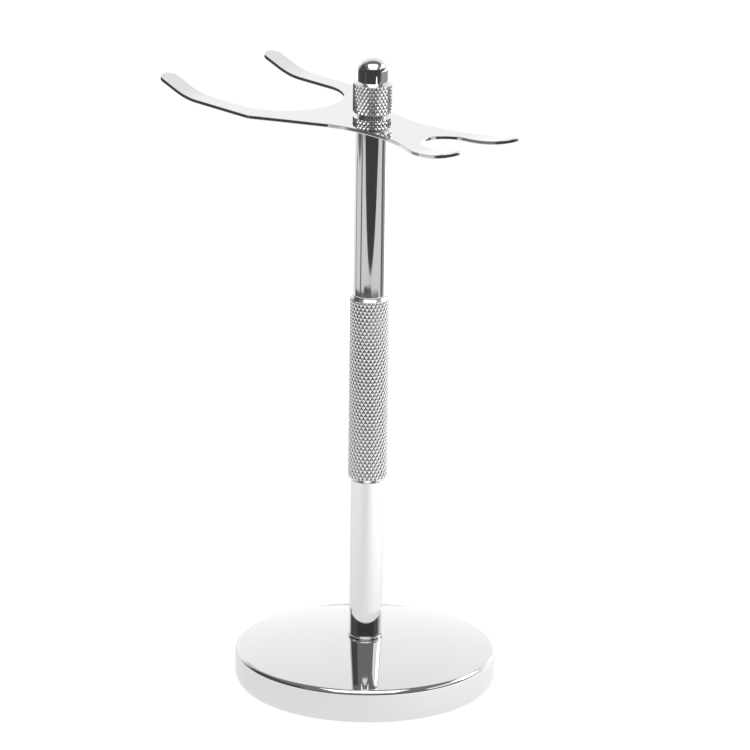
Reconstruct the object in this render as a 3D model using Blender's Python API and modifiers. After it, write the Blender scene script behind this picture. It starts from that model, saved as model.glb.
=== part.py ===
"""A chrome stand for a shaving brush and a razor, as an assembly of separate pieces.

A weighted, domed base carries a slim post: a lower tube, a knurled grip and an upper tube.
A flat holder plate with a wide brush fork and a narrow razor fork is clamped on the post's
top stud, between a friction washer and a captive clamp ring, by a knurled domed nut.

Frame: origin on the post's axis at the underside of the base pad, +Z up the post.
The brush fork points to -X and the razor fork to +X. All lengths are in metres.
"""
import math

import bmesh
import bpy
from mathutils import Vector

MM = 0.001
COLLECTION_NAME = "shaving_brush_stand"

# Driving dimensions
POST_RADIUS = 4.25 * MM
GRIP_RADIUS = 5.0 * MM
BASE_RADIUS = 33.35 * MM
STAND_HEIGHT = 165.0 * MM
SEAT_GAP = 0.1 * MM            # clearance left between faces that rest on each other
FIT_GAP = 0.25 * MM            # radial clearance of a plug, stud or screw in its hole

# Base
PAD_THICKNESS = 1.2 * MM
PAD_RADIUS = 28.8 * MM
PAD_EDGE = 0.2 * MM
SHELL_FOOT_Z = 0.3 * MM
SHELL_FOOT_RADIUS = 31.2 * MM
SHELL_RECESS_RADIUS = 29.3 * MM
SHELL_CEILING_Z = 7.3 * MM
LOWER_ROUND_HEIGHT = 3.2 * MM
RIM_ROUND = 1.5 * MM
RIM_TOP_Z = 9.4 * MM
SEAT_Z = 12.45 * MM
SEAT_RADIUS = 4.9 * MM
WEIGHT_BOTTOM_Z = 1.5 * MM
WEIGHT_RADIUS = 28.7 * MM
WEIGHT_WEB = 1.2 * MM          # iron left above the counterbore
COUNTERBORE_RADIUS = 5.5 * MM

# M4 fasteners
THREAD_RADIUS = 2.0 * MM
THREAD_CHAMFER = 0.3 * MM
HOLE_RADIUS = THREAD_RADIUS + FIT_GAP
SCREW_HEAD_RADIUS = 3.8 * MM
SCREW_HEAD_HEIGHT = 2.4 * MM
SCREW_HEAD_EDGE = 0.6 * MM
DRIVE_RADIUS = 1.3 * MM
DRIVE_DEPTH = 1.4 * MM
FLAT_WASHER_RADIUS = 4.5 * MM
FLAT_WASHER_THICKNESS = 0.8 * MM
LOCK_WASHER_RADIUS = 3.8 * MM
LOCK_WASHER_THICKNESS = 0.9 * MM
LOCK_WASHER_SPLIT = 0.8 * MM

# Post
TUBE_WALL = 1.0 * MM
TUBE_EDGE = 0.15 * MM
PLUG_RADIUS = POST_RADIUS - TUBE_WALL - FIT_GAP
PLUG_LENGTH = 9.0 * MM
FOOT_RING_RADIUS = 4.6 * MM
FOOT_RING_HEIGHT = 0.6 * MM
GRIP_BOTTOM_Z = 54.8 * MM
GRIP_TOP_Z = 103.4 * MM
GRIP_CHAMFER = 0.7 * MM
GRIP_CHAMFER_HEIGHT = 0.9 * MM
GRIP_HOLE_DEPTH = 9.0 * MM
STUD_ENGAGEMENT = 7.5 * MM
DRILL_POINT = math.radians(31.0)

# Holder plate, along the long axis from the post outwards and across it from the centre line
PLATE_TOP_Z = 148.75 * MM
PLATE_THICKNESS = 1.0 * MM
BRUSH_SLOT_START = 17.9 * MM
BRUSH_SLOT_DEPTH = 14.2 * MM
BRUSH_SLOT_HALF = 15.05 * MM
BRUSH_PRONG_HALF = 20.3 * MM
BRUSH_PRONG_END = 59.4 * MM
BRUSH_SHOULDER = 24.0 * MM
BRUSH_BEND_START = 43.6 * MM
BRUSH_BEND_RADIUS = 25.5 * MM
BRUSH_BEND_ANGLE = math.radians(18.3)
RAZOR_SLOT_START = 20.6 * MM
RAZOR_SLOT_HALF = 6.4 * MM
RAZOR_PRONG_HALF = 13.6 * MM
RAZOR_PRONG_END = 41.5 * MM
RAZOR_SHOULDER = 36.0 * MM
RAZOR_BEND_START = 24.4 * MM
RAZOR_BEND_RADIUS = 61.0 * MM
RAZOR_BEND_ANGLE = math.radians(13.3)
# Half widths of the plate between the two shoulders: the waist is under the nut
WAIST = ((-12.0 * MM, 14.1 * MM), (-2.0 * MM, 9.5 * MM), (8.0 * MM, 7.8 * MM),
         (18.0 * MM, 8.9 * MM), (27.0 * MM, 11.9 * MM))

# Clamp: friction washer, captive ring and domed nut on the top stud
WASHER_RADIUS = 4.1 * MM
WASHER_THICKNESS = 0.4 * MM
RING_HEIGHT = 1.05 * MM
RING_BOSS_RADIUS = 3.8 * MM
RING_BOSS_HEIGHT = 0.45 * MM
NUT_CHAMFER_RADIUS = 3.9 * MM
NUT_CHAMFER_HEIGHT = 1.0 * MM
NUT_SHOULDER_Z = 158.4 * MM
NUT_NECK_Z = 159.1 * MM
DOME_RADIUS = 3.72 * MM
DOME_HEIGHT = 3.0 * MM
STUD_TOP_Z = 160.0 * MM
NUT_BORE_TOP_Z = 160.8 * MM

SMOOTH_LIMIT = math.radians(35.0)   # edges that turn more than this stay sharp

# Facets round a full turn
FINE_STEPS = 96
POST_STEPS = 48
SMALL_STEPS = 32


def clear_scene():
    for obj in list(bpy.data.objects):
        bpy.data.objects.remove(obj, do_unlink=True)


def make_collection(name):
    collection = bpy.data.collections.new(name)
    bpy.context.scene.collection.children.link(collection)
    return collection


def make_material(name, color, roughness, metallic):
    material = bpy.data.materials.new(name)
    material.use_nodes = True
    shader = material.node_tree.nodes["Principled BSDF"]
    shader.inputs["Base Color"].default_value = (*color, 1.0)
    shader.inputs["Roughness"].default_value = roughness
    shader.inputs["Metallic"].default_value = metallic
    return material


def add_object(name, mesh, material, collection):
    obj = bpy.data.objects.new(name, mesh)
    obj.data.materials.append(material)
    collection.objects.link(obj)
    return obj


def quarter(center_r, center_z, radius_r, radius_z, start, end, count):
    """Points of an elliptical arc in the (radius, height) plane; angles in degrees."""
    points = []
    for i in range(count + 1):
        angle = math.radians(start + (end - start) * i / count)
        points.append((center_r + radius_r * math.cos(angle), center_z + radius_z * math.sin(angle)))
    return points


def turned(name, profile, closed, steps, material, collection):
    """Turn a (radius, height) profile about Z. It runs down its outer side, top to bottom."""
    mesh = bpy.data.meshes.new(name)
    edges = [(i, i + 1) for i in range(len(profile) - 1)]
    if closed:
        edges.append((len(profile) - 1, 0))
    mesh.from_pydata([(radius, 0.0, height) for radius, height in profile], edges, [])
    obj = add_object(name, mesh, material, collection)
    screw = obj.modifiers.new("turn", "SCREW")
    screw.axis = "Z"
    screw.steps = steps
    screw.render_steps = steps
    screw.use_merge_vertices = True
    screw.merge_threshold = 0.000002
    screw.use_smooth_shade = True
    return obj


def tube_profile(outer, inner, bottom, top):
    return [(inner, top), (outer, top), (outer, bottom), (inner, bottom)]


def rod_profile(radius, bottom, top, chamfer):
    return [(0.0, top), (radius - chamfer, top), (radius, top - chamfer),
            (radius, bottom + chamfer), (radius - chamfer, bottom), (0.0, bottom)]


def dome_height(radius):
    """Height of the base's shallow dome at a distance from the axis."""
    rim = BASE_RADIUS - RIM_ROUND
    return RIM_TOP_Z + (SEAT_Z - RIM_TOP_Z) * (1.0 - (radius / rim) ** 2)


def base_shell(material, collection):
    """Domed cover with a rounded rim and foot, recessed below for the weight and the pad."""
    rim = BASE_RADIUS - RIM_ROUND
    profile = [(HOLE_RADIUS, SEAT_Z), (SEAT_RADIUS, SEAT_Z)]
    dome_rings = 6
    for i in range(1, dome_rings):
        radius = SEAT_RADIUS + (rim - SEAT_RADIUS) * i / dome_rings
        profile.append((radius, dome_height(radius)))
    profile += quarter(rim, RIM_TOP_Z - RIM_ROUND, RIM_ROUND, RIM_ROUND, 78.0, 0.0, 4)
    foot_top = SHELL_FOOT_Z + LOWER_ROUND_HEIGHT
    profile += quarter(SHELL_FOOT_RADIUS, foot_top, BASE_RADIUS - SHELL_FOOT_RADIUS,
                       LOWER_ROUND_HEIGHT, 0.0, -90.0, 5)
    profile += [(SHELL_RECESS_RADIUS, SHELL_FOOT_Z), (SHELL_RECESS_RADIUS, SHELL_CEILING_Z),
                (HOLE_RADIUS, SHELL_CEILING_Z)]
    return turned("base_shell", profile, True, FINE_STEPS, material, collection)


def base_pad(material, collection):
    """Soft disc the stand rests on."""
    profile = rod_profile(PAD_RADIUS, 0.0, PAD_THICKNESS, PAD_EDGE)
    return turned("base_pad", profile, False, FINE_STEPS, material, collection)


def base_weight(material, collection):
    """Iron disc that fills the recess, counterbored so the screw clamps it to the shell."""
    top = SHELL_CEILING_Z - SEAT_GAP
    floor = top - WEIGHT_WEB
    profile = [(HOLE_RADIUS, top), (WEIGHT_RADIUS, top), (WEIGHT_RADIUS, WEIGHT_BOTTOM_Z),
               (COUNTERBORE_RADIUS, WEIGHT_BOTTOM_Z), (COUNTERBORE_RADIUS, floor),
               (HOLE_RADIUS, floor)]
    return turned("base_weight", profile, True, POST_STEPS, material, collection)


def base_fasteners(material, collection):
    """Flat washer, split washer and pan screw that pull shell and weight up to the post."""
    flat_top = SHELL_CEILING_Z - SEAT_GAP - WEIGHT_WEB - SEAT_GAP
    flat_bottom = flat_top - FLAT_WASHER_THICKNESS
    turned("base_flat_washer", tube_profile(FLAT_WASHER_RADIUS, HOLE_RADIUS, flat_bottom, flat_top),
           True, SMALL_STEPS, material, collection)

    lock_top = flat_bottom - SEAT_GAP
    lock_bottom = lock_top - LOCK_WASHER_THICKNESS
    washer = turned("base_lock_washer",
                    tube_profile(LOCK_WASHER_RADIUS, HOLE_RADIUS, lock_bottom, lock_top),
                    True, SMALL_STEPS, material, collection)
    cut_through(washer, "lock_washer_split", (LOCK_WASHER_RADIUS, 0.0, (lock_top + lock_bottom) / 2),
                (2.0 * LOCK_WASHER_RADIUS, LOCK_WASHER_SPLIT, 3.0 * LOCK_WASHER_THICKNESS))

    head_top = lock_bottom - SEAT_GAP
    head_bottom = head_top - SCREW_HEAD_HEIGHT
    shank_top = SEAT_Z + FOOT_RING_HEIGHT + STUD_ENGAGEMENT
    profile = [(0.0, shank_top), (THREAD_RADIUS - THREAD_CHAMFER, shank_top),
               (THREAD_RADIUS, shank_top - THREAD_CHAMFER), (THREAD_RADIUS, head_top),
               (SCREW_HEAD_RADIUS, head_top), (SCREW_HEAD_RADIUS, head_bottom + SCREW_HEAD_EDGE),
               (SCREW_HEAD_RADIUS - SCREW_HEAD_EDGE, head_bottom), (DRIVE_RADIUS, head_bottom),
               (DRIVE_RADIUS, head_bottom + DRIVE_DEPTH), (0.0, head_bottom + DRIVE_DEPTH)]
    return turned("base_screw", profile, False, SMALL_STEPS, material, collection)


def smooth_all(collection):
    """Turn every object into its finished mesh, smooth on its round faces and sharp at its edges."""
    depsgraph = bpy.context.evaluated_depsgraph_get()
    finished = [(obj, bpy.data.meshes.new_from_object(obj.evaluated_get(depsgraph)))
                for obj in collection.objects]
    for obj, mesh in finished:
        obj.modifiers.clear()
        obj.data = mesh
        mesh.name = obj.name
        mesh.shade_smooth()
        mesh.set_sharp_from_angle(angle=SMOOTH_LIMIT)


def cut_through(target, name, center, size):
    """Cut a box-shaped gap through a piece."""
    mesh = bpy.data.meshes.new(name)
    shape = bmesh.new()
    bmesh.ops.create_cube(shape, size=1.0)
    bmesh.ops.scale(shape, vec=Vector(size), verts=shape.verts)
    bmesh.ops.translate(shape, vec=Vector(center), verts=shape.verts)
    shape.to_mesh(mesh)
    shape.free()
    cutter = bpy.data.objects.new(name, mesh)
    cutter.hide_render = True
    cutter.display_type = "WIRE"
    bpy.data.collections["cutters"].objects.link(cutter)
    boolean = target.modifiers.new("split", "BOOLEAN")
    boolean.operation = "DIFFERENCE"
    boolean.object = cutter


def foot_ring(material, collection):
    """Thin polished bead between the base and the lower tube."""
    bottom = SEAT_Z + SEAT_GAP
    top = bottom + FOOT_RING_HEIGHT
    middle = (bottom + top) / 2
    bead = FOOT_RING_HEIGHT / 2
    profile = [(HOLE_RADIUS, top)]
    profile += quarter(FOOT_RING_RADIUS - bead, middle, bead, bead, 90.0, -90.0, 6)
    profile.append((HOLE_RADIUS, bottom))
    return turned("foot_ring", profile, True, POST_STEPS, material, collection)


def post_tube(name, bottom, top, material, collection):
    """A thin-walled length of the post."""
    inner = POST_RADIUS - TUBE_WALL
    profile = [(inner, top), (POST_RADIUS - TUBE_EDGE, top), (POST_RADIUS, top - TUBE_EDGE),
               (POST_RADIUS, bottom + TUBE_EDGE), (POST_RADIUS - TUBE_EDGE, bottom),
               (inner, bottom)]
    return turned(name, profile, True, POST_STEPS, material, collection)


def tube_plug(name, bottom, material, collection):
    """Threaded insert pressed into one end of a tube."""
    profile = tube_profile(PLUG_RADIUS, HOLE_RADIUS, bottom, bottom + PLUG_LENGTH)
    return turned(name, profile, True, SMALL_STEPS, material, collection)


def stud(name, bottom, top, material, collection):
    """Headless threaded stud that joins two lengths of the post."""
    profile = rod_profile(THREAD_RADIUS, bottom, top, THREAD_CHAMFER)
    return turned(name, profile, False, SMALL_STEPS, material, collection)


def grip_sleeve(material, collection):
    """Solid grip with a threaded blind hole in each end; each hole ends in a drill point."""
    point = HOLE_RADIUS * math.tan(DRILL_POINT)
    lower_hole = GRIP_BOTTOM_Z + GRIP_HOLE_DEPTH
    upper_hole = GRIP_TOP_Z - GRIP_HOLE_DEPTH
    chamfer_radius = GRIP_RADIUS - GRIP_CHAMFER
    profile = [(0.0, upper_hole - point), (HOLE_RADIUS, upper_hole), (HOLE_RADIUS, GRIP_TOP_Z),
               (chamfer_radius, GRIP_TOP_Z), (GRIP_RADIUS, GRIP_TOP_Z - GRIP_CHAMFER_HEIGHT),
               (GRIP_RADIUS, GRIP_BOTTOM_Z + GRIP_CHAMFER_HEIGHT), (chamfer_radius, GRIP_BOTTOM_Z),
               (HOLE_RADIUS, GRIP_BOTTOM_Z), (HOLE_RADIUS, lower_hole), (0.0, lower_hole + point)]
    return turned("grip_sleeve", profile, False, POST_STEPS, material, collection)


def waist_edge(count):
    """Smooth half outline of the plate from the brush shoulder, past the waist, to the razor shoulder."""
    knots = [(-BRUSH_SHOULDER, BRUSH_PRONG_HALF), *WAIST, (RAZOR_SHOULDER, RAZOR_PRONG_HALF)]
    first = (2 * knots[0][0] - knots[1][0], 2 * knots[0][1] - knots[1][1])
    last = (2 * knots[-1][0] - knots[-2][0], 2 * knots[-1][1] - knots[-2][1])
    knots = [Vector(knot) for knot in (first, *knots, last)]
    points = []
    for before, start, end, after in zip(knots, knots[1:], knots[2:], knots[3:]):
        for i in range(count):
            t = i / count
            points.append(0.5 * (2 * start + (end - before) * t
                                 + (2 * before - 5 * start + 4 * end - after) * t ** 2
                                 + (3 * start - before - 3 * end + after) * t ** 3))
    points.append(knots[-2])
    return [tuple(point) for point in points]


def prong_run(start, end, across, spacing):
    """Evenly spaced points along a prong's straight edge, both ends left out."""
    count = max(1, round(abs(end - start) / spacing))
    return [(start + (end - start) * i / count, across) for i in range(1, count)]


def plate_outline():
    """Flat pattern of the holder plate, closed, symmetric about the long axis."""
    spacing = 1.5 * MM
    slot_x = -(BRUSH_SLOT_START + BRUSH_SLOT_DEPTH)
    brush_tip = (BRUSH_PRONG_HALF - BRUSH_SLOT_HALF) / 2
    brush_tip_x = -(BRUSH_PRONG_END - brush_tip)
    brush_tip_y = (BRUSH_PRONG_HALF + BRUSH_SLOT_HALF) / 2
    razor_tip = (RAZOR_PRONG_HALF - RAZOR_SLOT_HALF) / 2
    razor_tip_x = RAZOR_PRONG_END - razor_tip
    razor_tip_y = (RAZOR_PRONG_HALF + RAZOR_SLOT_HALF) / 2
    razor_slot_x = RAZOR_SLOT_START + RAZOR_SLOT_HALF

    half = [(-BRUSH_SLOT_START, 0.0)]
    half += quarter(slot_x, 0.0, BRUSH_SLOT_DEPTH, BRUSH_SLOT_HALF, 0.0, 90.0, 14)[1:]
    half += prong_run(slot_x, brush_tip_x, BRUSH_SLOT_HALF, spacing)
    half += quarter(brush_tip_x, brush_tip_y, brush_tip, brush_tip, 270.0, 90.0, 10)
    half += prong_run(brush_tip_x, -BRUSH_SHOULDER, BRUSH_PRONG_HALF, spacing)
    half += waist_edge(6)
    half += quarter(razor_tip_x, razor_tip_y, razor_tip, razor_tip, 90.0, -90.0, 12)
    half += prong_run(razor_tip_x, razor_slot_x, RAZOR_SLOT_HALF, spacing)
    half += quarter(razor_slot_x, 0.0, RAZOR_SLOT_HALF, RAZOR_SLOT_HALF, 90.0, 180.0, 8)[:-1]
    half.append((RAZOR_SLOT_START, 0.0))
    mirrored = [(x, -y) for x, y in reversed(half[1:-1])]
    return half + mirrored


def bend(distance, height, start, radius, angle):
    """Wrap a point of the flat sheet round a bend; returns its new distance and height."""
    along = distance - start
    if along <= 0.0:
        return distance, height
    turn = min(along / radius, angle)
    straight = max(along - radius * angle, 0.0)
    x = start + (radius - height) * math.sin(turn) + straight * math.cos(turn)
    z = radius - (radius - height) * math.cos(turn) + straight * math.sin(turn)
    return x, z


def add_loop(curve, points):
    spline = curve.splines.new("POLY")
    spline.points.add(len(points) - 1)
    for item, (x, y) in zip(spline.points, points):
        item.co = (x, y, 0.0, 1.0)
    spline.use_cyclic_u = True


def holder_plate(material, collection):
    """Stamped plate with both forks, its prong ends bent up, and the stud's hole."""
    curve = bpy.data.curves.new("holder_pattern", "CURVE")
    curve.dimensions = "2D"
    curve.fill_mode = "BOTH"
    curve.extrude = PLATE_THICKNESS / 2
    add_loop(curve, plate_outline())
    add_loop(curve, quarter(0.0, 0.0, HOLE_RADIUS, HOLE_RADIUS, 0.0, 360.0, SMALL_STEPS)[:-1])
    pattern = bpy.data.objects.new("holder_pattern", curve)
    collection.objects.link(pattern)
    evaluated = pattern.evaluated_get(bpy.context.evaluated_depsgraph_get())
    mesh = bpy.data.meshes.new_from_object(evaluated)
    bpy.data.objects.remove(pattern)

    sheet = bmesh.new()
    sheet.from_mesh(mesh)
    bmesh.ops.remove_doubles(sheet, verts=sheet.verts, dist=0.000002)
    cut_for_bend(sheet, -1.0, BRUSH_BEND_START, BRUSH_BEND_RADIUS * BRUSH_BEND_ANGLE, 6)
    cut_for_bend(sheet, 1.0, RAZOR_BEND_START, RAZOR_BEND_RADIUS * RAZOR_BEND_ANGLE, 6)
    middle_z = PLATE_TOP_Z - PLATE_THICKNESS / 2
    for vert in sheet.verts:
        x, y, z = vert.co
        if x < 0.0:
            along, z = bend(-x, z, BRUSH_BEND_START, BRUSH_BEND_RADIUS, BRUSH_BEND_ANGLE)
            x = -along
        else:
            x, z = bend(x, z, RAZOR_BEND_START, RAZOR_BEND_RADIUS, RAZOR_BEND_ANGLE)
        vert.co = (x, y, z + middle_z)
    bmesh.ops.triangulate(sheet, faces=sheet.faces)
    bmesh.ops.recalc_face_normals(sheet, faces=sheet.faces)
    sheet.to_mesh(mesh)
    sheet.free()
    mesh.name = "holder_plate"
    return add_object("holder_plate", mesh, material, collection)


def cut_for_bend(sheet, side, start, length, count):
    """Cross-cut the flat sheet so that it can follow a bend along the long axis."""
    for i in range(count + 1):
        place = side * (start + length * i / count)
        bmesh.ops.bisect_plane(sheet, geom=sheet.verts[:] + sheet.edges[:] + sheet.faces[:],
                               dist=0.0000001, plane_co=(place, 0.0, 0.0), plane_no=(1.0, 0.0, 0.0))


def holder_washer(material, collection):
    """Thin friction washer on the upper tube's end, under the plate."""
    top = PLATE_TOP_Z - PLATE_THICKNESS - SEAT_GAP
    profile = tube_profile(WASHER_RADIUS, HOLE_RADIUS, top - WASHER_THICKNESS, top)
    return turned("holder_washer", profile, True, POST_STEPS, material, collection)


def clamp_ring(material, collection):
    """Captive ring that presses on the plate, with a boss that the nut bears on."""
    bottom = PLATE_TOP_Z + SEAT_GAP
    ring_top = bottom + RING_HEIGHT
    boss_top = ring_top + RING_BOSS_HEIGHT
    profile = [(HOLE_RADIUS, boss_top), (RING_BOSS_RADIUS, boss_top), (RING_BOSS_RADIUS, ring_top),
               (GRIP_RADIUS, ring_top), (GRIP_RADIUS, bottom), (HOLE_RADIUS, bottom)]
    return turned("clamp_ring", profile, True, POST_STEPS, material, collection)


def top_nut(material, collection):
    """Knurled nut with a chamfered foot, a polished dome and a blind threaded bore."""
    bottom = PLATE_TOP_Z + SEAT_GAP + RING_HEIGHT + RING_BOSS_HEIGHT + SEAT_GAP
    profile = quarter(0.0, STAND_HEIGHT - DOME_HEIGHT, DOME_RADIUS, DOME_HEIGHT, 90.0, 0.0, 8)
    profile[0] = (0.0, STAND_HEIGHT)
    profile += [(DOME_RADIUS, NUT_NECK_Z), (GRIP_RADIUS, NUT_SHOULDER_Z),
                (GRIP_RADIUS, bottom + NUT_CHAMFER_HEIGHT), (NUT_CHAMFER_RADIUS, bottom),
                (HOLE_RADIUS, bottom), (HOLE_RADIUS, NUT_BORE_TOP_Z), (0.0, NUT_BORE_TOP_Z)]
    return turned("top_nut", profile, False, POST_STEPS, material, collection)


def build():
    clear_scene()
    parts = make_collection(COLLECTION_NAME)
    make_collection("cutters")
    chrome = make_material("polished_chrome", (0.82, 0.82, 0.83), 0.05, 1.0)
    steel = make_material("plain_steel", (0.56, 0.57, 0.58), 0.35, 1.0)
    iron = make_material("cast_weight", (0.10, 0.10, 0.11), 0.70, 0.6)
    soft = make_material("soft_pad", (0.03, 0.03, 0.03), 0.85, 0.0)
    fibre = make_material("friction_washer", (0.08, 0.08, 0.08), 0.60, 0.0)

    base_pad(soft, parts)
    base_weight(iron, parts)
    base_shell(chrome, parts)
    base_fasteners(steel, parts)
    foot_ring(chrome, parts)

    tube_bottom = SEAT_Z + SEAT_GAP + FOOT_RING_HEIGHT + SEAT_GAP
    lower_top = GRIP_BOTTOM_Z - SEAT_GAP
    post_tube("lower_tube", tube_bottom, lower_top, chrome, parts)
    tube_plug("lower_tube_foot_plug", tube_bottom + SEAT_GAP, steel, parts)
    tube_plug("lower_tube_head_plug", lower_top - SEAT_GAP - PLUG_LENGTH, steel, parts)
    stud("grip_stud_lower", GRIP_BOTTOM_Z - STUD_ENGAGEMENT, GRIP_BOTTOM_Z + STUD_ENGAGEMENT,
         steel, parts)
    grip_sleeve(chrome, parts)
    stud("grip_stud_upper", GRIP_TOP_Z - STUD_ENGAGEMENT, GRIP_TOP_Z + STUD_ENGAGEMENT,
         steel, parts)

    upper_bottom = GRIP_TOP_Z + SEAT_GAP
    upper_top = PLATE_TOP_Z - PLATE_THICKNESS - SEAT_GAP - WASHER_THICKNESS - SEAT_GAP
    post_tube("upper_tube", upper_bottom, upper_top, chrome, parts)
    tube_plug("upper_tube_foot_plug", upper_bottom + SEAT_GAP, steel, parts)
    tube_plug("upper_tube_head_plug", upper_top - SEAT_GAP - PLUG_LENGTH, steel, parts)
    stud("top_stud", upper_top - STUD_ENGAGEMENT, STUD_TOP_Z, steel, parts)

    holder_washer(fibre, parts)
    holder_plate(chrome, parts)
    clamp_ring(chrome, parts)
    top_nut(chrome, parts)
    smooth_all(parts)


build()
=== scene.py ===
"""Looks of a chrome stand for a shaving brush and a razor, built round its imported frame.

Every visible piece is remade here as a fine mesh: turned pieces with rounded edges, real
diamond knurling, real threads, and a stamped plate with softened edges. All lengths are in
metres. Places come from the frame's own boxes.
"""

import math

import bmesh
import bpy
import numpy as np
from mathutils import Matrix, Vector


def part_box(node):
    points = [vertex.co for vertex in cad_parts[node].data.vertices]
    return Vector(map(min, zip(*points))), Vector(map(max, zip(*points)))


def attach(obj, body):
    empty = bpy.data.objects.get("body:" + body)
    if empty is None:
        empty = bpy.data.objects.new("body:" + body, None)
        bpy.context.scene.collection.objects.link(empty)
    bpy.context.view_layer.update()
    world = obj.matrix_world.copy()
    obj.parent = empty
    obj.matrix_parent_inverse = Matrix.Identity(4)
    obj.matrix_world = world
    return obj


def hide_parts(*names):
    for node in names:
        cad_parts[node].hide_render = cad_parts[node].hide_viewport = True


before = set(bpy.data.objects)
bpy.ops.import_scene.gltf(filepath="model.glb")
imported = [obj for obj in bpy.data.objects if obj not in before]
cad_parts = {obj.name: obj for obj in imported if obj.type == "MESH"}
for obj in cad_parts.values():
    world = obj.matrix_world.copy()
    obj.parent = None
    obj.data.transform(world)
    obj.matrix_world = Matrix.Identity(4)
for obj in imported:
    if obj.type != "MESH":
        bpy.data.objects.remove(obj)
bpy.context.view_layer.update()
MM = 0.001

# Turned surfaces
ROUND_STEPS = 160              # columns round a polished piece
GUARD = 0.12 * MM              # flat ring kept beside every corner so that shading stays true
ARC_STEPS = 6
MERGE_DISTANCE = 0.001 * MM

# Base
PAD_EDGE = 0.2 * MM
SHELL_FOOT_RADIUS = 31.2 * MM
LOWER_ROUND_HEIGHT = 3.2 * MM
RIM_ROUND = 1.5 * MM
RIM_TOP_Z = 9.4 * MM
RIM_BLEND = 0.1 * MM           # the dome runs this far past the centre of the rim's round
RIM_BLEND_DEGREES = 78
SEAT_RADIUS = 4.4 * MM
DOME_START_RADIUS = 5.2 * MM
RECESS_RADIUS = 29.3 * MM
RECESS_TOP_Z = 7.3 * MM

# Fasteners
SCREW_RADIUS = 2.0 * MM
SCREW_HEAD_GAP = 0.1 * MM
PITCH = 0.7 * MM
THREAD_DEPTH = 0.38 * MM
THREAD_COLUMNS = 40
ROWS_PER_PITCH = 8
HOLE_RADIUS = 2.25 * MM

# Post
TUBE_WALL = 1.0 * MM
TUBE_EDGE = 0.12 * MM

# Diamond knurling
KNURL_COUNT = 28               # diamonds round the grip and the nut
# (pitch along the post, groove depth, share of a diamond left flat on top)
GRIP_KNURL = (1.79 * MM, 0.145 * MM, 0.55)
NUT_KNURL = (1.66 * MM, 0.30 * MM, 0.12)
COLUMNS_PER_DIAMOND = 8
ROWS_PER_DIAMOND = 8
GRIP_CHAMFER = 0.7 * MM
GRIP_CHAMFER_HEIGHT = 0.9 * MM
GRIP_HOLE_DEPTH = 9.0 * MM

# Nut and clamp ring
NUT_CHAMFER_RADIUS = 3.9 * MM
NUT_CHAMFER_HEIGHT = 1.0 * MM
NUT_SHOULDER_Z = 158.4 * MM
NUT_NECK_Z = 159.1 * MM
DOME_RADIUS = 3.72 * MM
DOME_HEIGHT = 3.0 * MM
NUT_BORE_TOP_Z = 160.8 * MM
RING_BOSS_RADIUS = 3.8 * MM
RING_BOSS_HEIGHT = 0.45 * MM

# Holder plate: distances from the post along the long axis, and half widths across it
PLATE_THICKNESS = 1.0 * MM
PLATE_TOP_ROUND = 0.12 * MM
PLATE_BOTTOM_ROUND = 0.25 * MM
BRUSH_SLOT_START = 17.9 * MM
BRUSH_SLOT_DEPTH = 14.2 * MM
BRUSH_SLOT_HALF = 15.05 * MM
BRUSH_PRONG_HALF = 20.3 * MM
BRUSH_PRONG_END = 59.4 * MM
BRUSH_SHOULDER = 24.0 * MM
BRUSH_BEND = (43.6 * MM, 25.5 * MM, math.radians(18.3))
RAZOR_SLOT_START = 20.6 * MM
RAZOR_SLOT_HALF = 6.4 * MM
RAZOR_PRONG_HALF = 13.6 * MM
RAZOR_PRONG_END = 41.5 * MM
RAZOR_SHOULDER = 36.0 * MM
RAZOR_BEND = (24.4 * MM, 61.0 * MM, math.radians(13.3))
WAIST = ((-12.0 * MM, 14.1 * MM), (-2.0 * MM, 9.5 * MM), (8.0 * MM, 7.8 * MM),
         (18.0 * MM, 8.9 * MM), (27.0 * MM, 11.9 * MM))

# Photographer's set-up: the camera stands at this azimuth and looks down on the stand
CAMERA_AZIMUTH = math.radians(47.0)
CAMERA_ELEVATION = math.radians(17.57)
CAMERA_DISTANCE = 1.5
CAMERA_AIM = Vector((0.0, 0.0, 0.082))
CAMERA_LENS = 284.6
CAMERA_ROLL = math.radians(0.767)
CAMERA_SHIFT = (0.0081, 0.0011)

# Table and room. Distances are from the post, azimuths from the camera's, right is positive
WORLD_BRIGHTNESS = 1.02
TABLE_BRIGHTNESS = 0.93
TABLE_REACH = 6.0
FLOOR_GAP = 0.05 * MM          # keeps the table from lying in the pad's own plane
CARD_REACH = 3.0
FAR_FLOOR = (0.335, 0.95)      # near and far edge of the part that the base reflects
DARK_FLOOR_START = 0.372       # beyond it, in front, the table is dark
BACK_FLOOR = (0.57, 0.72)      # near and far edge of the part that the plate reflects
SECTOR_STEP = 4                # degrees
WALL_DISTANCE = 2.5
WALL_STEP = 7                  # degrees
CEILING_HEIGHT = 2.2
CEILING_BACK = -1.2            # the ceiling ends and the slope begins, behind the post
LIP_DISTANCE = 0.2
LIP_AZIMUTH = 115
LIP_HEIGHT = 30.0 * MM         # in the middle
LIP_DROP = 14.0 * MM           # from there to the ends
# Brightness of the table in reflections: strips from left to right with the level at each side
FLOOR_FADE = ((-CARD_REACH, -0.14, 0.97, 0.97), (-0.14, -0.04, 0.97, 0.86),
              (-0.04, 0.0, 0.86, 0.90), (0.0, 0.12, 0.90, 1.3), (0.12, 0.3, 1.3, 1.8),
              (0.3, CARD_REACH, 1.8, 1.8))


# ---------------------------------------------------------------- materials

def shader_material(name, color, roughness, metallic):
    """A plain material, with its node tree and its shader."""
    material = bpy.data.materials.new(name)
    material.use_nodes = True
    shader = material.node_tree.nodes["Principled BSDF"]
    shader.inputs["Base Color"].default_value = (*color, 1.0)
    shader.inputs["Roughness"].default_value = roughness
    shader.inputs["Metallic"].default_value = metallic
    return material, material.node_tree, shader


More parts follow.
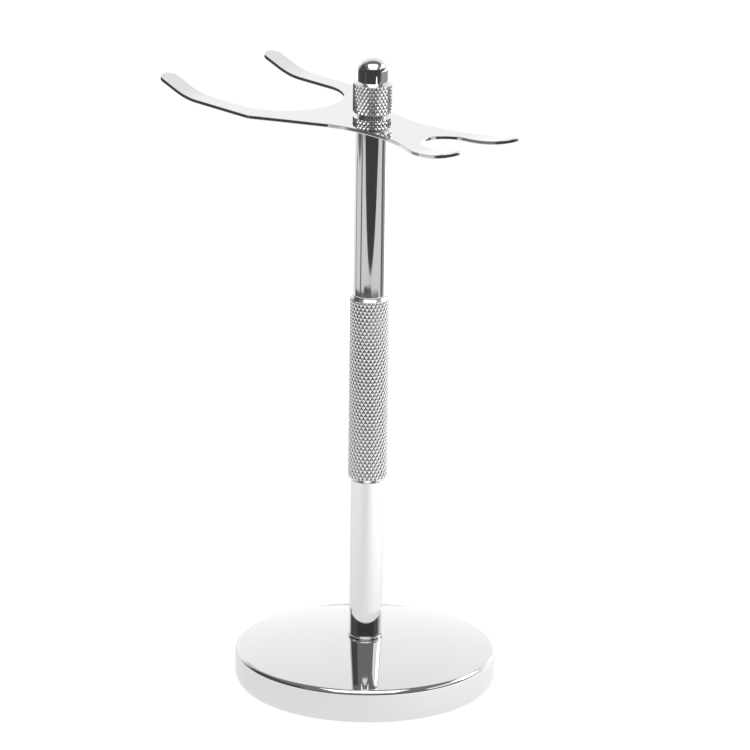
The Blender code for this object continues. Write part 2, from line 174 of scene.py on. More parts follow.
def add_node(tree, kind, **values):
    """Add a node; each value goes to the input of that name, or else to the node's setting."""
    node = tree.nodes.new(kind)
    for name, value in values.items():
        if name in node.inputs:
            node.inputs[name].default_value = value
        else:
            setattr(node, name, value)
    return node


def noise(tree, scale, detail):
    """Noise that stays with the object."""
    place = add_node(tree, "ShaderNodeTexCoord")
    node = add_node(tree, "ShaderNodeTexNoise", Scale=scale, Detail=detail)
    tree.links.new(place.outputs["Object"], node.inputs["Vector"])
    return node


def remap(tree, socket, low, high, to_low, to_high):
    """Carry a range of values over to another one."""
    node = add_node(tree, "ShaderNodeMapRange", **{"From Min": low, "From Max": high,
                                                   "To Min": to_low, "To Max": to_high})
    tree.links.new(socket, node.inputs["Value"])
    return node.outputs["Result"]


def bump(tree, shader, socket, strength, distance):
    """Fine relief in the shading, too small to be part of the shape."""
    node = add_node(tree, "ShaderNodeBump", Strength=strength, Distance=distance)
    tree.links.new(socket, node.inputs["Height"])
    tree.links.new(node.outputs["Normal"], shader.inputs["Normal"])


def polished_chrome(name, tone, roughness, wave):
    """Mirror plating: handling haze in the gloss and a faint waviness under the plating."""
    material, tree, shader = shader_material(name, tone, roughness, 1.0)
    haze = noise(tree, 90.0, 6.0)
    tree.links.new(remap(tree, haze.outputs["Fac"], 0.35, 0.75, roughness * 0.6, roughness * 1.8),
                   shader.inputs["Roughness"])
    ripple = noise(tree, 160.0, 2.0)
    bump(tree, shader, ripple.outputs["Fac"], wave, 0.02 * MM)
    return material


def plain_steel(name):
    """Zinc-plated hardware: slightly mottled, fine-grained."""
    material, tree, shader = shader_material(name, (0.56, 0.57, 0.58), 0.35, 1.0)
    mottle = noise(tree, 500.0, 5.0)
    tree.links.new(remap(tree, mottle.outputs["Fac"], 0.3, 0.7, 0.28, 0.48),
                   shader.inputs["Roughness"])
    grain = noise(tree, 4000.0, 3.0)
    bump(tree, shader, grain.outputs["Fac"], 0.15, 0.03 * MM)
    return material


def rough_cast(name):
    """Sand-cast iron with a thin dark coat."""
    material, tree, shader = shader_material(name, (0.10, 0.10, 0.11), 0.7, 0.6)
    grain = noise(tree, 900.0, 8.0)
    tree.links.new(remap(tree, grain.outputs["Fac"], 0.3, 0.7, 0.55, 0.85),
                   shader.inputs["Roughness"])
    bump(tree, shader, grain.outputs["Fac"], 0.6, 0.2 * MM)
    return material


def soft_foam(name, color, roughness, grain_scale):
    """Closed-cell foam or fibre: matt with a fine pitted grain."""
    material, tree, shader = shader_material(name, color, roughness, 0.0)
    cells = add_node(tree, "ShaderNodeTexVoronoi", Scale=grain_scale)
    place = add_node(tree, "ShaderNodeTexCoord")
    tree.links.new(place.outputs["Object"], cells.inputs["Vector"])
    ramp = add_node(tree, "ShaderNodeMapRange")
    tree.links.new(cells.outputs["Distance"], ramp.inputs["Value"])
    mix = add_node(tree, "ShaderNodeMix", data_type="RGBA")
    mix.inputs["A"].default_value = (*color, 1.0)
    mix.inputs["B"].default_value = (*(1.7 * c for c in color), 1.0)
    tree.links.new(ramp.outputs["Result"], mix.inputs["Factor"])
    tree.links.new(mix.outputs["Result"], shader.inputs["Base Color"])
    bump(tree, shader, cells.outputs["Distance"], 0.5, 0.1 * MM)
    return material


# ---------------------------------------------------------------- turned and knurled meshes

def piece(name, mesh, material, body, node, sharp_degrees=32.0):
    """Make an object of a finished mesh, on its body, in place of its CAD node."""
    mesh.shade_smooth()
    mesh.set_sharp_from_angle(angle=math.radians(sharp_degrees))
    mesh.materials.append(material)
    obj = bpy.data.objects.new(name, mesh)
    bpy.context.scene.collection.objects.link(obj)
    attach(obj, body)
    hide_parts(node)
    return obj


def arc(center_x, center_y, radius_x, radius_y, start, end, count=ARC_STEPS):
    """Points of an elliptical arc, in a profile's (radius, height) or a plan's (x, y); degrees."""
    turns = np.radians(np.linspace(start, end, count + 1))
    return [(center_x + radius_x * math.cos(t), center_y + radius_y * math.sin(t)) for t in turns]


def guarded(profile):
    """Add a ring just inside each end of every long straight run, so its shading stays flat."""
    points = [profile[0]]
    for start, end in zip(profile, profile[1:]):
        length = math.dist(start, end)
        if length > 4.0 * GUARD:
            for share in (GUARD / length, 1.0 - GUARD / length):
                points.append((start[0] + (end[0] - start[0]) * share,
                               start[1] + (end[1] - start[1]) * share))
        points.append(end)
    return points


def revolve(name, rows, columns, closed):
    """Skin rows of (radius, height) round Z. A radius is one number, or one for each column.

    Rows run down the outer side, top to bottom, and a closed skin joins the last to the first.
    Each cell is split along its deeper diagonal, so that grooves stay unbroken.
    """
    turns = np.arange(columns) * 2.0 * math.pi / columns
    radii = np.array([np.broadcast_to(radius, columns) for radius, _ in rows])
    heights = np.array([np.broadcast_to(height, columns) for _, height in rows])
    places = np.stack((radii * np.cos(turns), radii * np.sin(turns), heights), axis=-1)
    faces = []
    count = len(rows)
    for i in range(count if closed else count - 1):
        below = (i + 1) % count
        plain = np.ptp(radii[i]) == 0.0 and np.ptp(radii[below]) == 0.0
        for j in range(columns):
            k = (j + 1) % columns
            a, b = i * columns + j, below * columns + j
            c, d = below * columns + k, i * columns + k
            if plain:
                faces.append((a, b, c, d))
            elif radii[i, j] + radii[below, k] < radii[below, j] + radii[i, k]:
                faces += [(a, b, c), (a, c, d)]
            else:
                faces += [(a, b, d), (b, c, d)]
    mesh = bpy.data.meshes.new(name)
    mesh.from_pydata(places.reshape(-1, 3).tolist(), [], faces)
    shape = bmesh.new()
    shape.from_mesh(mesh)
    bmesh.ops.remove_doubles(shape, verts=shape.verts, dist=MERGE_DISTANCE)
    shape.to_mesh(mesh)
    shape.free()
    return mesh


def lathe(name, profile, closed, columns=ROUND_STEPS):
    """Turn a polished profile of (radius, height) points."""
    points = guarded(profile + profile[:1])[:-1] if closed else guarded(profile)
    return revolve(name, points, columns, closed)


def knurl_radius(radius, height, columns, knurl):
    """Radius of a diamond-knurled surface at one height, for each column round it."""
    pitch, groove_depth, flat = knurl
    turns = np.arange(columns) / columns
    depth = np.zeros(columns)
    for hand in (1.0, -1.0):
        phase = turns * KNURL_COUNT + hand * height / pitch
        groove = np.abs(2.0 * (phase % 1.0) - 1.0)
        depth = np.maximum(depth, (groove - flat) / (1.0 - flat))
    return radius - groove_depth * np.clip(depth, 0.0, 1.0)


def knurled_rows(radius, bottom, top, knurl, lower, upper):
    """Rows of a knurled band, top to bottom, cut back by a cone at either end.

    lower and upper are (radius at the very end, height of the cone).
    """
    step = knurl[0] / ROWS_PER_DIAMOND
    columns = KNURL_COUNT * COLUMNS_PER_DIAMOND
    first, last = math.ceil(bottom / step), math.floor(top / step)
    heights = [top] + [n * step for n in range(last, first - 1, -1)] + [bottom]
    rows = []
    for height in heights:
        limit = radius
        for end, (end_radius, cone) in ((height - bottom, lower), (top - height, upper)):
            if cone > 0.0 and end < cone:
                limit = min(limit, end_radius + (radius - end_radius) * end / cone)
        rows.append((np.minimum(knurl_radius(radius, height, columns, knurl), limit), height))
    return rows


def threaded_rows(radius, bottom, top):
    """Rows of a V thread, top to bottom, run out to a small chamfer at each end."""
    step = PITCH / ROWS_PER_PITCH
    count = round((top - bottom) / step)
    turns = np.arange(THREAD_COLUMNS) / THREAD_COLUMNS
    rows = []
    for i in range(count + 1):
        height = top - (top - bottom) * i / count
        wave = np.abs(2.0 * ((height / PITCH - turns) % 1.0) - 1.0)
        end = min(height - bottom, top - height)
        limit = radius - THREAD_DEPTH + min(end / PITCH, 1.0) * THREAD_DEPTH
        rows.append((np.minimum(radius - THREAD_DEPTH * wave, limit), height))
    return rows


# ---------------------------------------------------------------- the pieces

def make_base(chrome, steel, cast, foam):
    """The pad, the domed cover with its rounded rim, the bead on it and what is inside."""
    lo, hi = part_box("base_pad")
    profile = [(0.0, hi.z), (hi.x - PAD_EDGE, hi.z)]
    profile += arc(hi.x - PAD_EDGE, hi.z - PAD_EDGE, PAD_EDGE, PAD_EDGE, 90, 0)[1:]
    profile += arc(hi.x - PAD_EDGE, lo.z + PAD_EDGE, PAD_EDGE, PAD_EDGE, 0, -90)
    profile.append((0.0, lo.z))
    piece("rest_pad", lathe("rest_pad", profile, False), foam, "stand", "base_pad")

    lo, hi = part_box("base_shell")
    rim = hi.x - RIM_ROUND
    seat_z = hi.z

    def dome(radius):
        """Height of the cover's top, a shallow parabola."""
        return RIM_TOP_Z + (seat_z - RIM_TOP_Z) * (1.0 - (radius / rim) ** 2)

    profile = [(HOLE_RADIUS, seat_z), (SEAT_RADIUS, seat_z)]
    profile += [(r, dome(r)) for r in np.linspace(DOME_START_RADIUS, rim + RIM_BLEND, 30)]
    profile += arc(rim, RIM_TOP_Z - RIM_ROUND, RIM_ROUND, RIM_ROUND, RIM_BLEND_DEGREES, 0, 10)
    profile += arc(SHELL_FOOT_RADIUS, lo.z + LOWER_ROUND_HEIGHT, hi.x - SHELL_FOOT_RADIUS,
                   LOWER_ROUND_HEIGHT, 0, -90, 12)
    profile += [(RECESS_RADIUS, lo.z), (RECESS_RADIUS, RECESS_TOP_Z), (HOLE_RADIUS, RECESS_TOP_Z)]
    piece("domed_cover", lathe("domed_cover", profile, True, 256), chrome, "stand", "base_shell",
          40.0)

    lo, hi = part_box("foot_ring")
    bead = (hi.z - lo.z) / 2
    profile = [(HOLE_RADIUS, hi.z)] + arc(hi.x - bead, lo.z + bead, bead, bead, 90, -90, 10)
    profile.append((HOLE_RADIUS, lo.z))
    piece("foot_bead", lathe("foot_bead", profile, True), chrome, "stand", "foot_ring")

    for node, material in (("base_weight", cast), ("base_flat_washer", steel),
                           ("base_lock_washer", steel)):
        carry_over(node, material)
    make_base_screw(steel)


def make_base_screw(steel):
    """Pan-head screw with a socket drive and a real thread."""
    lo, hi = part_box("base_screw")
    head_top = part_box("base_lock_washer")[0].z - SCREW_HEAD_GAP
    head_radius = hi.x
    edge, drive_radius, drive_depth = 0.6 * MM, 1.3 * MM, 1.4 * MM
    rows = [(0.0, hi.z)] + threaded_rows(SCREW_RADIUS, head_top, hi.z)
    rows += guarded([(SCREW_RADIUS - THREAD_DEPTH, head_top), (head_radius, head_top)]
                    + arc(head_radius - edge, lo.z + edge, edge, edge, 0, -90)
                    + [(drive_radius, lo.z)])
    turns = np.arange(THREAD_COLUMNS) * 2.0 * math.pi / THREAD_COLUMNS
    hexagon = drive_radius * math.cos(math.pi / 6) / np.cos((turns % (math.pi / 3)) - math.pi / 6)
    rows += [(hexagon, lo.z), (hexagon, lo.z + drive_depth), (0.0, lo.z + drive_depth)]
    piece("pan_screw", revolve("pan_screw", rows, THREAD_COLUMNS, False), steel, "stand",
          "base_screw")


def carry_over(node, material):
    """Keep a CAD node as it is and give it its finished material."""
    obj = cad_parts[node]
    obj.data.materials.clear()
    obj.data.materials.append(material)


def make_tube(name, node, chrome):
    """A length of thin-walled tube with its edges broken."""
    lo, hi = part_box(node)
    inner = hi.x - TUBE_WALL
    outer = hi.x - TUBE_EDGE
    profile = [(inner, hi.z)] + arc(outer, hi.z - TUBE_EDGE, TUBE_EDGE, TUBE_EDGE, 90, 0)
    profile += arc(outer, lo.z + TUBE_EDGE, TUBE_EDGE, TUBE_EDGE, 0, -90) + [(inner, lo.z)]
    piece(name, lathe(name, profile, True), chrome, "stand", node)


def make_stud(name, node, steel):
    """A headless stud, threaded all along."""
    lo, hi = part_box(node)
    rows = [(0.0, hi.z)] + threaded_rows(hi.x, lo.z, hi.z) + [(0.0, lo.z)]
    piece(name, revolve(name, rows, THREAD_COLUMNS, False), steel, "stand", node)


def make_grip(chrome):
    """The knurled grip, with a blind drilled hole at each end for its studs."""
    lo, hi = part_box("grip_sleeve")
    columns = KNURL_COUNT * COLUMNS_PER_DIAMOND
    end = (hi.x - GRIP_CHAMFER, GRIP_CHAMFER_HEIGHT)
    hole_top, hole_bottom = lo.z + GRIP_HOLE_DEPTH, hi.z - GRIP_HOLE_DEPTH
    drill_point = HOLE_RADIUS * 0.6
    rows = [(0.0, hole_bottom - drill_point), (HOLE_RADIUS, hole_bottom), (HOLE_RADIUS, hi.z)]
    rows += knurled_rows(hi.x, lo.z, hi.z, GRIP_KNURL, end, end)
    rows += [(HOLE_RADIUS, lo.z), (HOLE_RADIUS, hole_top), (0.0, hole_top + drill_point)]
    piece("knurled_grip", revolve("knurled_grip", rows, columns, False), chrome, "stand",
          "grip_sleeve", 20.0)


def make_clamp_ring(chrome):
    """The thin knurled ring with its plain boss on top."""
    lo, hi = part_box("clamp_ring")
    ring_top = hi.z - RING_BOSS_HEIGHT
    columns = KNURL_COUNT * COLUMNS_PER_DIAMOND
    none = (hi.x, 0.0)
    rows = [(HOLE_RADIUS, hi.z), (RING_BOSS_RADIUS, hi.z), (RING_BOSS_RADIUS, ring_top)]
    rows += knurled_rows(hi.x, lo.z, ring_top, NUT_KNURL, none, none)
    rows += [(HOLE_RADIUS, lo.z)]
    piece("knurled_ring", revolve("knurled_ring", rows, columns, True), chrome, "clamp_ring",
          "clamp_ring", 20.0)


def make_nut(chrome, polish):
    """The knurled nut with its chamfered foot and its polished dome."""
    lo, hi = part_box("top_nut")
    columns = KNURL_COUNT * COLUMNS_PER_DIAMOND
    rows = guarded([(0.0, hi.z)] + arc(0.0, hi.z - DOME_HEIGHT, DOME_RADIUS, DOME_HEIGHT, 88, 0, 20)
                   + [(DOME_RADIUS, NUT_NECK_Z)])
    lower = (NUT_CHAMFER_RADIUS, NUT_CHAMFER_HEIGHT)
    upper = (DOME_RADIUS, NUT_NECK_Z - NUT_SHOULDER_Z)
    rows += knurled_rows(hi.x, lo.z, NUT_NECK_Z, NUT_KNURL, lower, upper)
    rows += [(HOLE_RADIUS, lo.z), (HOLE_RADIUS, NUT_BORE_TOP_Z), (0.0, NUT_BORE_TOP_Z)]
    obj = piece("domed_nut", revolve("domed_nut", rows, columns, False), chrome, "top_nut",
                "top_nut", 20.0)
    obj.data.materials.append(polish)
    for face in obj.data.polygons:
        if face.center.z > NUT_NECK_Z:
            face.material_index = 1


# ---------------------------------------------------------------- the stamped plate

def straight(start, end, across, spacing=1.0 * MM):
    """Points inside a straight run along the plate, at one distance across it."""
    count = max(1, round(abs(end - start) / spacing))
    return [(start + (end - start) * i / count, across) for i in range(1, count)]


def waist_edge(count):
    """Smooth half outline from the brush shoulder, past the waist, to the razor shoulder."""
    knots = [(-BRUSH_SHOULDER, BRUSH_PRONG_HALF), *WAIST, (RAZOR_SHOULDER, RAZOR_PRONG_HALF)]
    first = (2 * knots[0][0] - knots[1][0], 2 * knots[0][1] - knots[1][1])
    last = (2 * knots[-1][0] - knots[-2][0], 2 * knots[-1][1] - knots[-2][1])
    knots = [Vector(knot) for knot in (first, *knots, last)]
    points = []
    for before, start, end, after in zip(knots, knots[1:], knots[2:], knots[3:]):
        steps = [i / count for i in range(count)]
        if not points:
            steps.insert(1, 0.02)    # beside the shoulder, so that its shading stays true
        for t in steps:
            points.append(0.5 * (2 * start + (end - before) * t
                                 + (2 * before - 5 * start + 4 * end - after) * t ** 2
                                 + (3 * start - before - 3 * end + after) * t ** 3))
    points.append(knots[-2])
    return [tuple(point) for point in points]


def plate_outline():
    """The flat sheet's outline, clockwise seen from above: one half, and then its mirror image."""
    slot_x = -(BRUSH_SLOT_START + BRUSH_SLOT_DEPTH)
    brush_tip = (BRUSH_PRONG_HALF - BRUSH_SLOT_HALF) / 2
    brush_tip_x = -(BRUSH_PRONG_END - brush_tip)
    brush_tip_y = (BRUSH_PRONG_HALF + BRUSH_SLOT_HALF) / 2
    razor_tip = (RAZOR_PRONG_HALF - RAZOR_SLOT_HALF) / 2
    razor_tip_x = RAZOR_PRONG_END - razor_tip
    razor_tip_y = (RAZOR_PRONG_HALF + RAZOR_SLOT_HALF) / 2
    razor_slot_x = RAZOR_SLOT_START + RAZOR_SLOT_HALF
    half = arc(slot_x, 0.0, BRUSH_SLOT_DEPTH, BRUSH_SLOT_HALF, 0.0, 90.0, 40)
    half += straight(slot_x, brush_tip_x, BRUSH_SLOT_HALF)
    half += arc(brush_tip_x, brush_tip_y, brush_tip, brush_tip, 270.0, 90.0, 24)
    half += straight(brush_tip_x, -BRUSH_SHOULDER, BRUSH_PRONG_HALF)
    half.append((-BRUSH_SHOULDER - 2 * GUARD, BRUSH_PRONG_HALF))
    half += waist_edge(14)
    half += arc(razor_tip_x, razor_tip_y, razor_tip, razor_tip, 90.0, -90.0, 28)
    half += straight(razor_tip_x, razor_slot_x, RAZOR_SLOT_HALF)
    half += arc(razor_slot_x, 0.0, RAZOR_SLOT_HALF, RAZOR_SLOT_HALF, 90.0, 180.0, 20)
    return half + [(x, -y) for x, y in reversed(half[1:-1])]


def inset(points, distance):
    """Move a closed outline into the sheet, and give the directions out of the sheet too.

    An outer outline runs clockwise seen from above, and a hole's runs the other way.
    """
    places = np.array(points)
    ahead, behind = np.roll(places, -1, axis=0) - places, places - np.roll(places, 1, axis=0)
    normals = [np.stack((run[:, 1], -run[:, 0]), axis=-1) / np.linalg.norm(run, axis=1)[:, None]
               for run in (ahead, behind)]
    middle = normals[0] + normals[1]
    middle /= np.linalg.norm(middle, axis=1)[:, None]
    stretch = np.clip(1.0 / np.sum(middle * normals[0], axis=1), 1.0, 2.0)
    return places + middle * (distance * stretch)[:, None], -middle


def bend(distance, height, start, radius, angle):
    """Wrap a point of the flat sheet round a bend: its new distance, height and slope."""
    along = distance - start
    if along <= 0.0:
        return distance, height, 0.0
    turn = min(along / radius, angle)
    rest = max(along - radius * angle, 0.0)
    x = start + (radius - height) * math.sin(turn) + rest * math.cos(turn)
    z = radius - (radius - height) * math.cos(turn) + rest * math.sin(turn)
    return x, z, turn


def make_plate(chrome):
    """Cut the flat sheet with rounded edges, then bend its prongs up, turning its normals too."""
    half = PLATE_THICKNESS / 2
    middle_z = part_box("holder_plate")[0].z + half
    levels = []
    for edge, side, angles in ((PLATE_TOP_ROUND, 1, (0, 90)), (PLATE_BOTTOM_ROUND, -1, (90, 180))):
        for t in np.radians(np.linspace(*angles, 5)):
            height = side * (half - edge) + edge * math.cos(t)
            levels.append((edge * (1 - math.sin(t)), height, math.sin(t), math.cos(t)))
    hole = arc(0.0, 0.0, HOLE_RADIUS, HOLE_RADIUS, 0.0, 360.0, 48)[:-1]
    sheet = bmesh.new()
    facing = sheet.verts.layers.float_vector.new("facing")
    for points in (plate_outline(), hole):
        rings = []
        for inset_by, height, out, up in levels:
            ring = []
            for (x, y), (out_x, out_y) in zip(*inset(points, inset_by)):
                vert = sheet.verts.new((x, y, height))
                vert[facing] = Vector((out * out_x, out * out_y, up))
                ring.append(vert)
            rings.append(ring)
        for upper, lower in zip(rings, rings[1:]):
            for i in range(len(upper)):
                k = (i + 1) % len(upper)
                sheet.faces.new((upper[i], lower[i], lower[k], upper[k]))
        for ring in (rings[0], rings[-1]):
            for i in range(len(ring)):
                if sheet.edges.get((ring[i], ring[(i + 1) % len(ring)])) is None:
                    sheet.edges.new((ring[i], ring[(i + 1) % len(ring)]))
    for height in (half, -half):
        rim = [edge for edge in sheet.edges
               if all(abs(vert.co.z - height) < MERGE_DISTANCE for vert in edge.verts)]
        bmesh.ops.triangle_fill(sheet, use_beauty=True, use_dissolve=False, edges=rim,
                                normal=(0.0, 0.0, math.copysign(1.0, height)))
    # Cuts across the prongs, so that they can follow the bends
    for side, (start, radius, angle) in ((-1.0, BRUSH_BEND), (1.0, RAZOR_BEND)):
        for place in np.linspace(start, start + radius * angle, 25):
            bmesh.ops.bisect_plane(sheet, geom=sheet.verts[:] + sheet.edges[:] + sheet.faces[:],
                                   dist=0.1 * MERGE_DISTANCE, plane_co=(side * place, 0.0, 0.0),
                                   plane_no=(1.0, 0.0, 0.0))
    bmesh.ops.triangulate(sheet, faces=[face for face in sheet.faces if len(face.verts) > 4])
    bmesh.ops.recalc_face_normals(sheet, faces=sheet.faces)
    normals = []
    for vert in sheet.verts:
        x, y, z = vert.co
        normal = vert[facing].normalized()
        side = -1.0 if x < 0.0 else 1.0
        distance, height, turn = bend(abs(x), z, *(BRUSH_BEND if x < 0.0 else RAZOR_BEND))
        vert.co = (side * distance, y, height + middle_z)
        outward, up = side * normal.x, normal.z
        normals.append((side * (outward * math.cos(turn) - up * math.sin(turn)), normal.y,
                        outward * math.sin(turn) + up * math.cos(turn)))
    mesh = bpy.data.meshes.new("forked_plate")
    sheet.to_mesh(mesh)
    sheet.free()
    piece("forked_plate", mesh, chrome, "holder", "holder_plate", 180.0)
    mesh.normals_split_custom_set_from_vertices(normals)


# ---------------------------------------------------------------- the studio

FRONT = Vector((math.sin(CAMERA_AZIMUTH), -math.cos(CAMERA_AZIMUTH), 0.0))
RIGHT = Vector((math.cos(CAMERA_AZIMUTH), math.sin(CAMERA_AZIMUTH), 0.0))


def studio_point(right, front, up):
    """A place by its distances from the post's foot: to the camera's right, to its side, and up."""
    return RIGHT * right + FRONT * front + Vector((0.0, 0.0, up))


def reflector(name, corners, brightness):
    """A card that only polished surfaces see: it shapes reflections and casts no light.

    brightness is one number, or one for each corner to fade between.
    """
    mesh = bpy.data.meshes.new(name)
    mesh.from_pydata([studio_point(*corner) for corner in corners], [],
                     [tuple(range(len(corners)))])
    glow = mesh.attributes.new("glow", "FLOAT", "POINT")
    for item, value in zip(glow.data, np.broadcast_to(brightness, len(corners))):
        item.value = float(value)
    material = bpy.data.materials.new(name)
    material.use_nodes = True
    tree = material.node_tree
    tree.nodes.remove(tree.nodes["Principled BSDF"])
    level = add_node(tree, "ShaderNodeAttribute", attribute_name="glow")
    emission = add_node(tree, "ShaderNodeEmission")
    tree.links.new(level.outputs["Fac"], emission.inputs["Strength"])
    tree.links.new(emission.outputs["Emission"], tree.nodes["Material Output"].inputs["Surface"])
    mesh.materials.append(material)
    card = bpy.data.objects.new(name, mesh)
    bpy.context.scene.collection.objects.link(card)
    card.visible_camera = False
    card.visible_diffuse = False
    card.visible_shadow = False


def on_floor(left, right, near, far, height):
    """Corners of a rectangle on the floor, from behind the post to the front; height in mm."""
    height *= MM
    return [(left, near, height), (right, near, height), (right, far, height), (left, far, height)]


def bearing(azimuth, distance, height):
    """A studio place by its direction from the post; 0 is the camera's, right is positive."""
    turn = math.radians(azimuth)
    return (distance * math.sin(turn), distance * math.cos(turn), height)


def floor_sector(start, end, near, far, height):
    """Outline of part of a ring on the floor round the post; height in mm."""
    turns = np.linspace(start, end, max(2, round(abs(end - start) / SECTOR_STEP)))
    return ([bearing(turn, near, height * MM) for turn in turns]
            + [bearing(turn, far, height * MM) for turn in reversed(turns)])


def wall(name, start, end, low, high, brightness):
    """Curved wall round the post between two azimuths and two elevations.

    brightness is one number, or one for each end to fade between.
    """
    turns = np.linspace(start, end, max(2, round(abs(end - start) / WALL_STEP)))
    levels = np.linspace(*np.broadcast_to(brightness, 2), len(turns))
    bottom, top = (WALL_DISTANCE * math.tan(math.radians(angle)) for angle in (low, high))
    for i in range(len(turns) - 1):
        left, right = turns[i:i + 2]
        reflector(f"{name}_{i + 1}",
                  [bearing(left, WALL_DISTANCE, bottom), bearing(right, WALL_DISTANCE, bottom),
                   bearing(right, WALL_DISTANCE, top), bearing(left, WALL_DISTANCE, top)],
                  [levels[i], levels[i + 1], levels[i + 1], levels[i]])


def make_floor():
    """The table that is seen, and the brightness that polished surfaces see on it."""
    mesh = bpy.data.meshes.new("floor")
    mesh.from_pydata([(-TABLE_REACH, -TABLE_REACH, 0), (TABLE_REACH, -TABLE_REACH, 0),
                      (TABLE_REACH, TABLE_REACH, 0), (-TABLE_REACH, TABLE_REACH, 0)],
                     [], [(0, 1, 2, 3)])
    mesh.transform(Matrix.Translation((0.0, 0.0, -FLOOR_GAP)))
    floor = bpy.data.objects.new("floor", mesh)
    bpy.context.scene.collection.objects.link(floor)
    material, tree, shader = shader_material("lit_table", (0.10, 0.10, 0.10), 0.9, 0.0)
    shader.inputs["Emission Color"].default_value = (1.0, 1.0, 1.0, 1.0)
    shader.inputs["Emission Strength"].default_value = TABLE_BRIGHTNESS
    mesh.materials.append(material)

    for index, (left, right, level_left, level_right) in enumerate(FLOOR_FADE):
        reflector(f"floor_glow_{index + 1}", on_floor(left, right, -CARD_REACH, CARD_REACH, 0.3),
                  [level_left, level_right, level_right, level_left])


def make_floor_cards():
    """Dark and grey parts of the table. Cards that overlap lie at different heights."""
    reflector("grey_far_floor", floor_sector(-128, 95, *FAR_FLOOR, 0.4), 0.72)
    reflector("dark_left_line", floor_sector(-73, -64, *FAR_FLOOR, 0.5), 0.11)
    reflector("grey_left_line", floor_sector(-121, -112, FAR_FLOOR[0], 0.51, 0.5), 0.30)
    reflector("dark_right_line", floor_sector(74, 90, *FAR_FLOOR, 0.5), 0.14)
    reflector("grey_right_line", floor_sector(90, 108, *FAR_FLOOR, 0.5), 0.40)
    reflector("dark_front_floor",
              on_floor(-CARD_REACH, CARD_REACH, DARK_FLOOR_START, CARD_REACH, 0.6), 0.055)
    for index, (left, right, level_left, level_right) in enumerate(
            ((-CARD_REACH, -0.56, 0.06, 0.06), (-0.56, -0.51, 0.06, 0.22),
             (-0.51, -0.495, 0.22, 0.72))):
        reflector(f"dark_left_floor_{index + 1}",
                  on_floor(left, right, -CARD_REACH, DARK_FLOOR_START, 0.6),
                  [level_left, level_right, level_right, level_left])
    reflector("dark_back_left_floor", floor_sector(-180, -50, *BACK_FLOOR, 0.6), 0.06)
    reflector("dark_right_floor", floor_sector(45, 68, 0.58, BACK_FLOOR[1], 0.6), 0.06)
    reflector("grey_back_right_floor", floor_sector(68, 180, *BACK_FLOOR, 0.6), 0.35)
    reflector("light_table_arc", floor_sector(-60, -49, 0.53, 0.575, 0.9), 0.5)
    reflector("dark_table_ring", floor_sector(-118, 60, 0.341, 0.3515, 0.6), 0.10)
    reflector("dark_table_mark", floor_sector(-42, 8, 0.350, 0.3575, 0.7), 0.06)


def make_room():
    """Walls all round, by azimuth and elevation, then what is overhead."""
    wall("dark_front_room", -60, 60, 0, 19, 0.05)
    wall("dim_front_room", -60, 60, 19, 39, 0.20)
    wall("dark_left_room", -118, -60, 0, 60, 0.08)
    wall("grey_left_room", -140, -118, 0, 60, (0.95, 0.08))
    wall("dim_back_left_room", -192, -140, 27, 62, 0.15)
    wall("dim_back_right_room", 125, 153, 27, 62, 0.25)
    wall("dark_right_room", 60, 94, 0, 22, 0.10)
    wall("grey_right_room", 94, 150, 0, 22, (0.30, 1.4))
    wall("right_lamp", 98, 125, 22, 48, 5.0)
    reflector("dim_ceiling", [(-2.5, 2.5, CEILING_HEIGHT), (2.5, 2.5, CEILING_HEIGHT),
                              (2.5, CEILING_BACK, CEILING_HEIGHT),
                              (-2.5, CEILING_BACK, CEILING_HEIGHT)], 0.2)
    reflector("back_slope", [(-1.3, CEILING_BACK, CEILING_HEIGHT),
                             (2.5, CEILING_BACK, CEILING_HEIGHT),
                             (2.5, -2.8, 0.0), (-1.3, -2.8, 0.0)], [0.84, 0.84, 1.14, 1.14])
    reflector("lamp_panel", [(-0.18, 0.32, 0.34), (0.18, 0.32, 0.34),
                             (0.2, 0.03, 0.5), (-0.2, 0.03, 0.5)], 2.0)


def make_lip():
    """Low white edge round the front of the table, higher in the middle."""
    turns = np.linspace(-LIP_AZIMUTH, LIP_AZIMUTH, 24)
    for index, (left, right) in enumerate(zip(turns, turns[1:])):
        left_top, right_top = (LIP_HEIGHT - LIP_DROP * (turn / LIP_AZIMUTH) ** 2
                               for turn in (left, right))
        reflector(f"white_lip_{index + 1}",
                  [bearing(left, LIP_DISTANCE, 0.0), bearing(right, LIP_DISTANCE, 0.0),
                   bearing(right, LIP_DISTANCE, right_top),
                   bearing(left, LIP_DISTANCE, left_top)], 1.0)


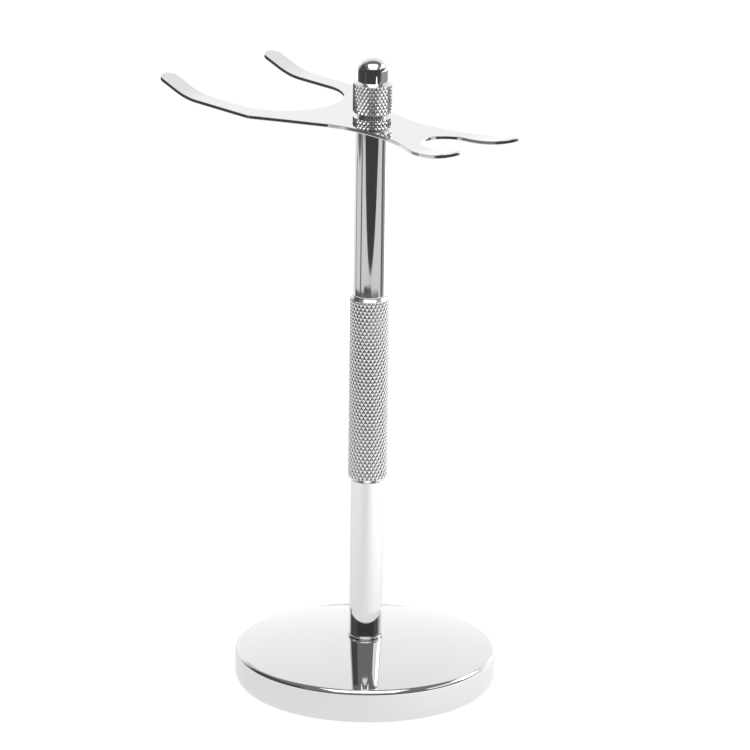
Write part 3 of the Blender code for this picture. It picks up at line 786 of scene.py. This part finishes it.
def make_studio():
    """Soft even light from all round, and the table and room that the chrome reflects."""
    world = bpy.data.worlds.new("studio")
    world.use_nodes = True
    background = world.node_tree.nodes["Background"]
    background.inputs["Color"].default_value = (1.0, 1.0, 1.0, 1.0)
    background.inputs["Strength"].default_value = WORLD_BRIGHTNESS
    bpy.context.scene.world = world
    bpy.context.scene.view_settings.view_transform = "Standard"
    make_floor()
    make_floor_cards()
    make_room()
    make_lip()


def make_camera():
    """A long lens, level but for a slight roll, aimed at the stand's middle."""
    data = bpy.data.cameras.new("camera")
    data.lens = CAMERA_LENS
    data.sensor_width = 36.0
    data.shift_x, data.shift_y = CAMERA_SHIFT
    data.clip_start, data.clip_end = 0.1, 20.0
    camera = bpy.data.objects.new("camera", data)
    bpy.context.scene.collection.objects.link(camera)
    camera.location = CAMERA_AIM + studio_point(0.0, CAMERA_DISTANCE * math.cos(CAMERA_ELEVATION),
                                                CAMERA_DISTANCE * math.sin(CAMERA_ELEVATION))
    camera.rotation_euler = (CAMERA_AIM - camera.location).to_track_quat("-Z", "Y").to_euler()
    camera.rotation_euler.rotate_axis("Z", CAMERA_ROLL)
    bpy.context.scene.camera = camera


def main():
    chrome = polished_chrome("polished_chrome", (0.80, 0.80, 0.81), 0.035, 0.10)
    knurl_chrome = polished_chrome("knurl_chrome", (0.80, 0.80, 0.81), 0.20, 0.10)
    steel = plain_steel("plain_steel")
    cast = rough_cast("cast_weight")
    foam = soft_foam("soft_pad", (0.03, 0.03, 0.03), 0.85, 2500.0)
    fibre = soft_foam("friction_washer", (0.08, 0.08, 0.08), 0.6, 6000.0)
    make_base(chrome, steel, cast, foam)
    make_tube("lower_post", "lower_tube", chrome)
    make_tube("upper_post", "upper_tube", chrome)
    make_grip(knurl_chrome)
    for node in ("lower_tube_foot_plug", "lower_tube_head_plug", "upper_tube_foot_plug",
                 "upper_tube_head_plug"):
        carry_over(node, steel)
    make_stud("lower_joining_stud", "grip_stud_lower", steel)
    make_stud("upper_joining_stud", "grip_stud_upper", steel)
    make_stud("threaded_top_stud", "top_stud", steel)
    carry_over("holder_washer", fibre)
    make_plate(chrome)
    make_clamp_ring(knurl_chrome)
    make_nut(knurl_chrome, chrome)
    make_studio()
    make_camera()


main()
